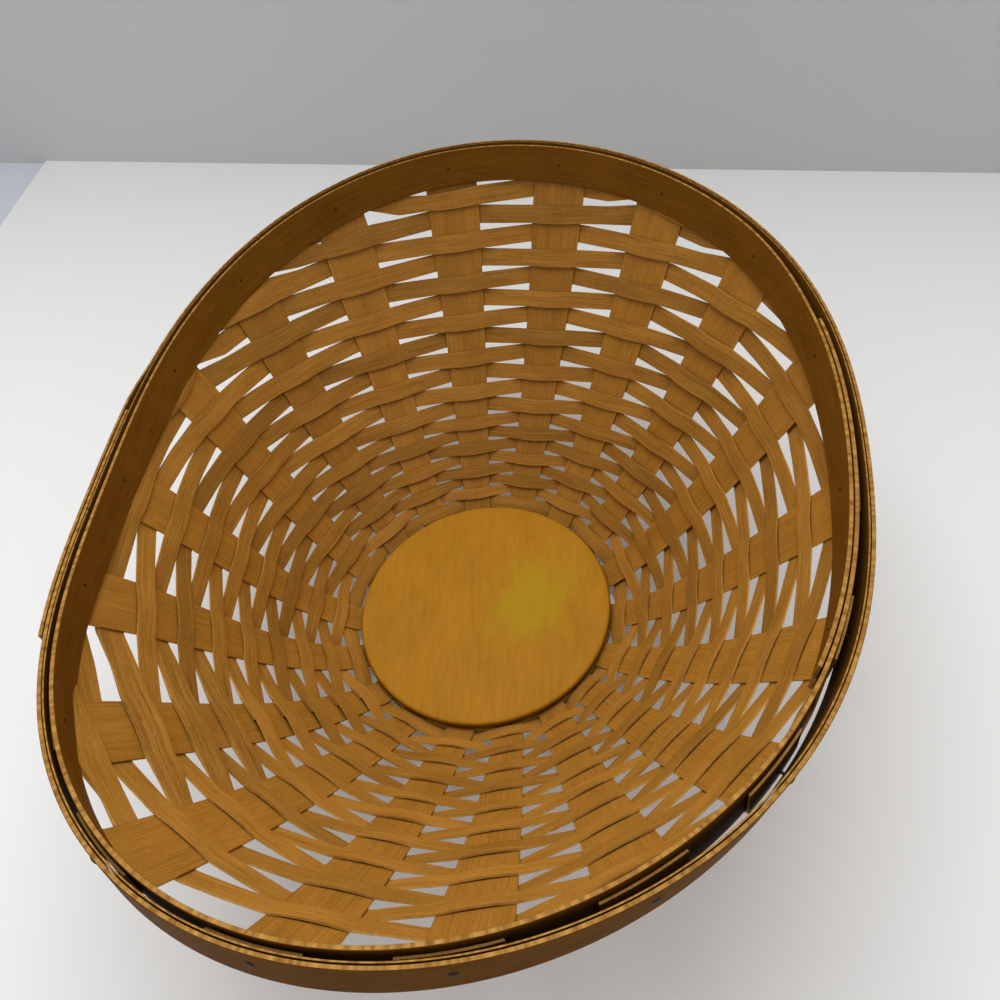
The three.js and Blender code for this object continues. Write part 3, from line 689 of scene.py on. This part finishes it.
# Laps: the stave at which even and odd rows start, and the layers that thicken the upper laps.
EVEN_ROW_START = 10
ODD_ROW_START = 1
LONG_LAP_FROM = 12
LAP_OFFSET = WEAVER_OFFSET + WEAVER_THICKNESS
LAP_LAYERS = {12: 2, 14: 3, 16: 3, 13: 1, 15: 1}
LAP_LAYER_STEP = 1.9
LAP_LAYER_THICKNESS = 0.7
LAP_LAYER_TONES = (0.9, 1.1)

mean_wall = wall_length(stave_angles).mean()


def row_middle(row, theta):
    """Distance of a row's middle from the foot of the wall, measured up the wall."""
    dip = ROW_DIP_FAR_END * cosd(theta) + ROW_DIP_LEFT * sind(theta) + ROW_DIP_ENDS * cosd(2 * theta)
    rise = ROW_PITCH * row + ROW_PITCH_GROWTH * row * row - dip * min(1, (row - 0.5) / ROW_OF_FULL_DIP)
    lift = TOP_ROW_LIFT * max(0, row - TOP_ROW_LIFTED_FROM) / (ROW_COUNT - TOP_ROW_LIFTED_FROM)
    lift *= swell(theta, TOP_ROW_LIFTED_AT, TOP_ROW_LIFT_NARROWING)
    if row >= HIDDEN_ROW_FROM:
        lift += HIDDEN_ROW_LIFT * swell(theta, HIDDEN_ROW_AT, HIDDEN_ROW_NARROWING)
    return rise * mean_wall + lift


def strip_shares(row, theta, rise, fill_limit):
    """Lower and upper edge of a strip as shares of the wall, with its rise in millimetres."""
    length = wall_length(theta)
    pitch = row_middle(row + 0.5, theta) - row_middle(row - 0.5, theta)
    width = min(WEAVER_WIDTH + WEAVER_WIDTH_PER_PITCH * pitch, fill_limit * pitch)
    width *= 1 - WEAVER_NARROWED * swell(theta, WEAVER_NARROWED_AT, WEAVER_NARROWED_BREADTH)
    middle = row_middle(row, theta) + rise
    lower = FIRST_ROW_FOOT if row == 1 else min(middle - width / 2, length + UNDER_HOOP[0])
    return lower / length, min(middle + width / 2, length + UNDER_HOOP[1]) / length


def row_slope(row, theta):
    """Rise of a row for each millimetre across the stave that it passes."""
    shares = [min(row_middle(row, theta + step) / wall_length(theta + step), 1) for step in (-2, 0, 2)]
    before, after = wall_point(theta - 2, shares[0]), wall_point(theta + 2, shares[2])
    sideways = wall_frame(theta, shares[1])[1]
    up = unit(wall_point(theta, shares[1]) - wall_point(theta, shares[1] - 0.01))
    return np.dot(after - before, up) / np.dot(after - before, sideways)


def creased_line(points, knots, places):
    """Points at even places along straight runs between the given points, eased at each bend."""
    line = np.stack([np.interp(places, knots, points[:, axis]) for axis in range(3)], axis=1)
    span = int(BEND_LENGTH / (places[1] - places[0])) // 2 * 2 + 1
    weights = np.hanning(span + 2)[1:-1]
    weights /= weights.sum()
    padded = np.concatenate([[line[0]] * (span // 2), line, [line[-1]] * (span // 2)])
    return np.stack([np.convolve(padded[:, axis], weights, "valid") for axis in range(3)], axis=1)


def weaver_edges(row, layer=0):
    """Lower and upper edge lines of a row's strip, from its start to its end.

    A layer of a lap runs only round the lap. Each one lies further in than the last, and its
    upper edge lies lower, so that the layers' edges show side by side.
    """
    start = EVEN_ROW_START if row % 2 == 0 else ODD_ROW_START
    extra = 1 if row >= LONG_LAP_FROM else 0
    last = STAVE_COUNT + 1
    if row > ROW_COUNT:
        start, extra, last = FAR_END_START, 0, FAR_END_STAVES
    if layer:
        extra, last = 1, 1
    low_points, high_points = [], []
    for visit in range(-extra, last + 1):
        stave = (start - visit + 2 * STAVE_COUNT) % STAVE_COUNT
        side = 1 if (row + stave) % 2 == 0 else -1
        is_lapped = visit >= STAVE_COUNT - extra if side == 1 else visit <= 1
        offset = LAP_OFFSET if is_lapped and row <= ROW_COUNT else WEAVER_OFFSET
        if layer:
            offset = LAP_OFFSET + layer * LAP_LAYER_THICKNESS if side == 1 else WEAVER_OFFSET
        theta = stave_angles[stave]
        reach = stave_width(min(row_middle(row, theta), wall_length(theta))) / 2 + STAVE_EDGE_ROOM
        slope = row_slope(row, theta)
        places = {-extra: (0, -0.5, -1), last: (1, 0.5, 0)}.get(visit, (1, 0.5, 0, -0.5, -1))
        for place in places:
            bulge = WEAVER_BULGE_INSIDE if side == 1 else WEAVER_BULGE_OUTSIDE
            off = side * (offset + bulge * (1 - place * place))
            wave = ROW_WAVE + (ROW_WAVE_AT_EDGES - ROW_WAVE) * place * place
            rise = slope * place * reach - side * wave
            low, high = strip_shares(row, theta, rise, ON_STAVE_FILL)
            high -= layer * LAP_LAYER_STEP / wall_length(theta)
            off *= 1 - (1 - OFFSET_LEFT_UNDER_HOOP) * smoothstep(low, UNDER_HOOP_FROM, 1)
            low_points.append(stave_point(theta, low, place * reach, off))
            high_points.append(stave_point(theta, high, place * reach, off))
        if visit < last:
            after = stave_angles[(stave - 1) % STAVE_COUNT]
            between = theta - ((theta - after) % 360) / 2
            low, high = strip_shares(row, between, 0, CROSSING_FILL)
            high -= layer * LAP_LAYER_STEP / wall_length(between)
            low_points.append(stave_point(between, low, 0, layer * LAP_LAYER_THICKNESS))
            high_points.append(stave_point(between, high, 0, layer * LAP_LAYER_THICKNESS))
    low_points, high_points = np.array(low_points), np.array(high_points)
    steps = np.linalg.norm(np.diff((low_points + high_points) / 2, axis=0), axis=1)
    knots = np.concatenate([[0], np.cumsum(steps)])
    places = np.linspace(0, knots[-1], int(knots[-1] / WEAVER_STEP))
    return creased_line(low_points, knots, places), creased_line(high_points, knots, places)


weaver_ash = splint_wood("weaver_ash_stained", "#7f531a", "#b67f32", 0.5, 0.5)

for row in range(1, ROW_COUNT + FAR_END_ROWS + 1):
    name = f"weaver_{row:02d}"
    low_edge, high_edge = weaver_edges(row)
    weaver = lay_splint("splint_" + name, low_edge, high_edge, None, WEAVER_THICKNESS,
                        WEAVER_STEPS_ACROSS, chance.uniform(*WEAVER_TONES), 55.0 * row + 900,
                        weaver_ash, cut_ash)
    finish_piece(weaver, "weaver_wood", *([name] if row <= ROW_COUNT + 1 else []))
    for layer in range(1, LAP_LAYERS.get(row, 0) + 1):
        low_edge, high_edge = weaver_edges(row, layer)
        filler = lay_splint(f"filler_{row:02d}_{layer}", low_edge, high_edge, None, LAP_LAYER_THICKNESS,
                            WEAVER_STEPS_ACROSS, chance.uniform(*LAP_LAYER_TONES),
                            55.0 * row + 10 * layer, weaver_ash, cut_ash)
        finish_piece(filler, "weaver_wood")

# Rim hoops and lining
# Two oak bands, steamed and bent round the stave ends, one inside and one outside, with a thin
# lining band against the outer one. The inner hoop starts inside itself and the outer hoop
# ends outside itself, in long laps. Their sawn top edges are lighter.

LINING_THICKNESS = 0.5
OUTER_HOOP_THICKNESS = 1.2
LINING_OUT = STAVE_OUT + STAVE_THICKNESS / 2 + CLEARANCE
OUTER_HOOP_OUT = LINING_OUT + LINING_THICKNESS + CLEARANCE
INNER_LAP_STEP = INNER_HOOP_THICKNESS + CLEARANCE
OUTER_LAP_STEP = OUTER_HOOP_THICKNESS + CLEARANCE
INNER_LAP_START = 230
INNER_LAP_LENGTH = 61
INNER_LAP_BLEND = 24
OUTER_LAP_START = 77
OUTER_LAP_LENGTH = 46
OUTER_LAP_RAMP = 10
OUTER_LAP_LEAD = 2
LINING_JOINT = 100
LINING_GAP = 0.4
# The outer bands have come away from the staves at the near right.
SLACK_DEPTH = 2.8
SLACK_AT = 219
SLACK_NARROWING = 12
SLACK_TAKEN_UP = 0.9
HOOP_STEP = 0.8
HOOP_STEPS_ACROSS = 6
INNER_HOOP_TONE = 0.76
LINING_TONE = 0.6
# The outer hoop is toned darker than the inner hoop: painted shade for its outer face, which looks down and
# away from the lamp.
OUTER_HOOP_TONE_AND_SHADE = 0.6
EDGE_DASHES = (2.1, 6)


def slack(t, drop):
    """How far the outer bands gape from the staves: widest at the top edge, nearly closed below."""
    return SLACK_DEPTH * swell(t, SLACK_AT, SLACK_NARROWING) * (1 - SLACK_TAKEN_UP * drop / HOOP_DEPTH)


def inner_hoop_out(t, drop):
    """Along the inner hoop: inside its own end at first, then against the staves."""
    lap_end = INNER_LAP_START + INNER_LAP_LENGTH
    return INNER_LAP_STEP * (smoothstep(t, lap_end, lap_end + INNER_LAP_BLEND) - 1)


def lining_out(t, drop):
    """Along the lining: against the staves, but for the slack."""
    return LINING_OUT + slack(t, drop)


def outer_hoop_out(t, drop):
    """Along the outer hoop: against the lining, then stepping out over its own start."""
    lap_from = OUTER_LAP_START + 360 - OUTER_LAP_LEAD
    step = OUTER_LAP_STEP * smoothstep(t, lap_from - OUTER_LAP_RAMP, lap_from)
    return OUTER_HOOP_OUT + slack(t, drop) + step


hoop_oak = splint_wood("hoop_oak_stained", "#6a4010", "#8c5b1a", 0.5, 0.6, 0.01)


def sawn_edge():
    """Sawn edge of a bent hoop under varnish: a golden line broken into short light dashes."""
    material, tree, shader = new_material("sawn_hoop_edge", "#c79a4e", 0.45)
    shader.inputs["Specular IOR Level"].default_value = 0.04
    where = add_node(tree, "ShaderNodeUVMap", {"uv_map": "UVMap"}).outputs[0]
    stretch = add_node(tree, "ShaderNodeMapping", inputs={
        "Vector": where, "Scale": (1 / EDGE_DASHES[0], 1 / EDGE_DASHES[1], 1.0)})
    dashes = add_node(tree, "ShaderNodeTexNoise", inputs={
        "Vector": stretch.outputs[0], "Scale": 1.0, "Detail": 2.0}).outputs["Fac"]
    shade = add_node(tree, "ShaderNodeValToRGB", inputs={"Fac": dashes})
    shade.color_ramp.elements[0].position = 0.36
    shade.color_ramp.elements[0].color = linear("#875a22")
    shade.color_ramp.elements[1].position = 0.66
    shade.color_ramp.elements[1].color = linear("#b98a44")
    tree.links.new(shade.outputs["Color"], shader.inputs["Base Color"])
    relief = add_node(tree, "ShaderNodeBump", inputs={
        "Strength": 0.6, "Distance": 0.0002, "Height": dashes})
    tree.links.new(relief.outputs[0], shader.inputs["Normal"])
    return material


hoop_edge = sawn_edge()


def bent_band(name, start, end, out_at, thickness, tone, sheet, node):
    """A band bent round the mouth between two angles; out_at says how far out its inside face is."""
    t = np.linspace(start, end, int((end - start) / HOOP_STEP) + 1)
    low_edge, high_edge = [hoop_point(t, out_at(t, drop) + thickness / 2, drop + 0 * t)
                           for drop in (HOOP_DEPTH, 0)]
    band = lay_splint(name, low_edge, high_edge, None, thickness, HOOP_STEPS_ACROSS, tone, sheet,
                      hoop_oak, hoop_edge)
    finish_piece(band, "hoop_wood", node)


bent_band("inner_rim_hoop", INNER_LAP_START, INNER_LAP_START + 360 + INNER_LAP_LENGTH, inner_hoop_out,
          INNER_HOOP_THICKNESS, INNER_HOOP_TONE, 2300.0, "inner_hoop")
bent_band("lining_band", LINING_JOINT, LINING_JOINT + 360 - LINING_GAP, lining_out, LINING_THICKNESS,
          LINING_TONE, 2400.0, "rim_lining_band")
bent_band("outer_rim_hoop", OUTER_LAP_START, OUTER_LAP_START + 360 + OUTER_LAP_LENGTH, outer_hoop_out,
          OUTER_HOOP_THICKNESS, OUTER_HOOP_TONE_AND_SHADE, 2500.0, "outer_hoop")

# Rim nails
# Eighteen small steel brads, one at each stave, driven from outside square through the hoops,
# the lining and the stave. Their low domed heads sit on the outer hoop and their tips just
# show inside.

BRAD_SHANK = 0.45
BRAD_HEAD = 1.35
BRAD_HEAD_THICKNESS = 0.5
RIM_BRAD_DROP = 6.6
RIM_BRAD_TIP = 0.25
RUBBED_SPOT = 1.111


def brad_steel():
    """Small steel nails, blued and tarnished: nearly black, with rubbed brown spots."""
    material, tree, shader = new_material("blued_steel", "#3e2f22", 0.5)
    shader.inputs["Metallic"].default_value = 0.3
    shader.inputs["Specular IOR Level"].default_value = 0.15
    where = add_node(tree, "ShaderNodeTexCoord").outputs["Object"]
    rubbed = add_node(tree, "ShaderNodeTexNoise", inputs={
        "Vector": where, "Scale": 1 / (RUBBED_SPOT * MM), "Detail": 2.0})
    shade = add_node(tree, "ShaderNodeValToRGB", inputs={"Fac": rubbed.outputs["Fac"]})
    shade.color_ramp.elements[0].color = linear("#1c130b")
    shade.color_ramp.elements[1].color = linear("#3e2d1c")
    tree.links.new(shade.outputs["Color"], shader.inputs["Base Color"])
    return material


def brad_tree():
    """Geometry nodes that put a brad with a domed head at each point, along the point's axis."""
    tree = bpy.data.node_groups.new("brads_at_points", "GeometryNodeTree")
    for name, kind in (("Points", "NodeSocketGeometry"), ("Shank radius", "NodeSocketFloat"),
                       ("Head radius", "NodeSocketFloat"), ("Head height", "NodeSocketFloat"),
                       ("Steel", "NodeSocketMaterial")):
        tree.interface.new_socket(name, in_out="INPUT", socket_type=kind)
    tree.interface.new_socket("Brads", in_out="OUTPUT", socket_type="NodeSocketGeometry")
    given = add_node(tree, "NodeGroupInput").outputs
    axis = add_node(tree, "GeometryNodeInputNamedAttribute", {"data_type": "FLOAT_VECTOR"}, {
        "Name": "axis"})
    length = add_node(tree, "GeometryNodeInputNamedAttribute", {"data_type": "FLOAT"}, {
        "Name": "length"})
    turn = add_node(tree, "FunctionNodeAlignRotationToVector", {"axis": "Z"}, {
        "Vector": axis.outputs["Attribute"]})
    shank = add_node(tree, "GeometryNodeMeshCylinder", inputs={
        "Vertices": 10, "Radius": given["Shank radius"], "Depth": 1.0})
    hung = add_node(tree, "GeometryNodeTransform", inputs={
        "Geometry": shank.outputs["Mesh"], "Translation": (0, 0, -0.5)})
    long = add_node(tree, "ShaderNodeCombineXYZ", inputs={
        "X": 1.0, "Y": 1.0, "Z": length.outputs["Attribute"]})
    shanks = add_node(tree, "GeometryNodeInstanceOnPoints", inputs={
        "Points": given["Points"], "Instance": hung.outputs[0], "Rotation": turn.outputs[0],
        "Scale": long.outputs[0]})
    dome = add_node(tree, "GeometryNodeMeshUVSphere", inputs={"Segments": 12, "Rings": 6, "Radius": 1.0})
    flat = add_node(tree, "ShaderNodeCombineXYZ", inputs={
        "X": given["Head radius"], "Y": given["Head radius"], "Z": given["Head height"]})
    heads = add_node(tree, "GeometryNodeInstanceOnPoints", inputs={
        "Points": given["Points"], "Instance": dome.outputs["Mesh"], "Rotation": turn.outputs[0],
        "Scale": flat.outputs[0]})
    both = add_node(tree, "GeometryNodeJoinGeometry", inputs={0: shanks.outputs[0]})
    tree.links.new(heads.outputs[0], both.inputs[0])
    real = add_node(tree, "GeometryNodeRealizeInstances", inputs={0: both.outputs[0]})
    made = add_node(tree, "GeometryNodeSetMaterial", inputs={
        "Geometry": real.outputs[0], "Material": given["Steel"]})
    add_node(tree, "NodeGroupOutput", inputs={0: made.outputs[0]})
    return tree


def counted_from(start, t):
    """The angle as it is counted along a band that starts at another angle."""
    return t - 360 * math.floor((t - start) / 360)


def rim_brads():
    """Where the brads' heads sit, the way that they point outwards, and their lengths in metres."""
    seats, axes, lengths = [], [], []
    for theta in stave_angles:
        t = rim_angle(theta)
        lean = hoop_lean(t)
        axis = mouth_normal(t) * cosd(lean) - np.array((0, 0, sind(lean)))
        along = counted_from(OUTER_LAP_START, t)
        if along < OUTER_LAP_START + OUTER_LAP_LENGTH:
            along += 360
        seat = (outer_hoop_out(along, RIM_BRAD_DROP) + OUTER_HOOP_THICKNESS) * cosd(lean)
        tip = inner_hoop_out(counted_from(INNER_LAP_START, t), RIM_BRAD_DROP) * cosd(lean) - RIM_BRAD_TIP
        seats.append(hoop_point(t, 0, RIM_BRAD_DROP) + axis * seat)
        axes.append(axis)
        lengths.append((seat - tip) * MM)
    return np.array(seats), np.array(axes), np.array(lengths)


seats, axes, lengths = rim_brads()
brad_points = bpy.data.meshes.new("brad_points")
brad_points.from_pydata([tuple(p) for p in seats * MM], [], [])
brad_points.attributes.new("axis", "FLOAT_VECTOR", "POINT").data.foreach_set("vector", axes.ravel())
brad_points.attributes.new("length", "FLOAT", "POINT").data.foreach_set("value", lengths)
nails = run_tree("rim_brads", brad_tree(), brad_points, {
    "Shank radius": BRAD_SHANK * MM, "Head radius": BRAD_HEAD * MM, "Head height": BRAD_HEAD_THICKNESS * MM,
    "Steel": brad_steel()})
finish_piece(nails, "brad_steel", *[f"rim_nail_{index + 1:02d}" for index in range(STAVE_COUNT)])

# Setting
# A white board to stand on, a pale grey backdrop beyond its far edge, and one large soft
# lamp overhead, a little beyond the basket. The camera looks down from the high end.

BOARD_CORNERS = [(365, 322, 0), (262, -262, 0), (-700, -700, 0), (-500, 420, 0)]
BACKDROP_HEIGHT = 400
BACKDROP_REACH = 900
TABLE_REACH = 1500
TABLE_LEVEL = -2
PAINT_CLOUD = 166.7
LAMP_PLACE = (0.53, 0.0, 1.08)
LAMP_SIZE = 1.1
LAMP_POWER = 12.6
ROOM_LIGHT = 0.66
CAMERA_PLACE = Vector((-207.8, -66.1, 353.05)) * MM
CAMERA_FORWARD = Vector((0.5991, 0.1425, -0.7879)).normalized()
CAMERA_RIGHT = Vector((0.0491, -0.9887, -0.1414)).normalized()
CAMERA_LENS = 36.19
CAMERA_SENSOR = 36


def matt_card(name, colour):
    """Painted card, matt, with a faint unevenness of its paint."""
    material, tree, shader = new_material(name, colour, 0.85)
    where = add_node(tree, "ShaderNodeTexCoord").outputs["Object"]
    cloud = add_node(tree, "ShaderNodeTexNoise", inputs={
        "Vector": where, "Scale": 1 / (PAINT_CLOUD * MM), "Detail": 2.0})
    shade = add_node(tree, "ShaderNodeMapRange", inputs={
        "Value": cloud.outputs["Fac"], "To Min": 0.97, "To Max": 1.0})
    toned = add_node(tree, "ShaderNodeVectorMath", {"operation": "SCALE"}, {
        0: linear(colour)[:3], "Scale": shade.outputs[0]})
    tree.links.new(toned.outputs[0], shader.inputs["Base Color"])
    return material


floor = plain_object("floor_board", BOARD_CORNERS, [(0, 3, 2, 1)], matt_card("white_card", "#f3f3f1"),
                     False)
far_left, far_right = np.array(BOARD_CORNERS[0], float), np.array(BOARD_CORNERS[1], float)
past_board = unit(far_right - far_left) * BACKDROP_REACH
foot, top = np.array((0, 0, TABLE_LEVEL)), np.array((0, 0, BACKDROP_HEIGHT))
backdrop = plain_object("backdrop", [far_left - past_board + foot, far_right + past_board + foot,
                                     far_right + past_board + top, far_left - past_board + top],
                        [(0, 1, 2, 3)], matt_card("grey_card", "#cfd0ce"), False)
table_corners = [(x * TABLE_REACH, y * TABLE_REACH, TABLE_LEVEL)
                 for x, y in ((-1, -1), (1, -1), (1, 1), (-1, 1))]
under = plain_object("table", table_corners, [(0, 1, 2, 3)], matt_card("pale_card", "#d9dbe4"), False)

lamp = bpy.data.lights.new("overhead_lamp", "AREA")
lamp.shape = "RECTANGLE"
lamp.size, lamp.size_y = LAMP_SIZE, LAMP_SIZE
lamp.energy = LAMP_POWER
lamp_object = bpy.data.objects.new("overhead_lamp", lamp)
lamp_object.location = LAMP_PLACE
lamp_object.rotation_euler = (-Vector(LAMP_PLACE)).to_track_quat("-Z", "Y").to_euler()
bpy.context.scene.collection.objects.link(lamp_object)

world = bpy.data.worlds.new("soft_room")
world.use_nodes = True
world.node_tree.nodes["Background"].inputs["Color"].default_value = linear("#f2f3f6")
world.node_tree.nodes["Background"].inputs["Strength"].default_value = ROOM_LIGHT
bpy.context.scene.world = world
bpy.context.scene.view_settings.view_transform = "Standard"

camera_up = CAMERA_RIGHT.cross(CAMERA_FORWARD).normalized()
camera_right = CAMERA_FORWARD.cross(camera_up)
camera = bpy.data.objects.new("camera", bpy.data.cameras.new("camera"))
camera.data.sensor_width = CAMERA_SENSOR
camera.data.lens = CAMERA_LENS
camera.data.clip_start = 0.01
camera.data.clip_end = 20
turn = Matrix((camera_right, camera_up, -CAMERA_FORWARD)).transposed()
camera.matrix_world = Matrix.Translation(CAMERA_PLACE) @ turn.to_4x4()
bpy.context.scene.collection.objects.link(camera)
bpy.context.scene.camera = camera

bpy.context.view_layer.update()
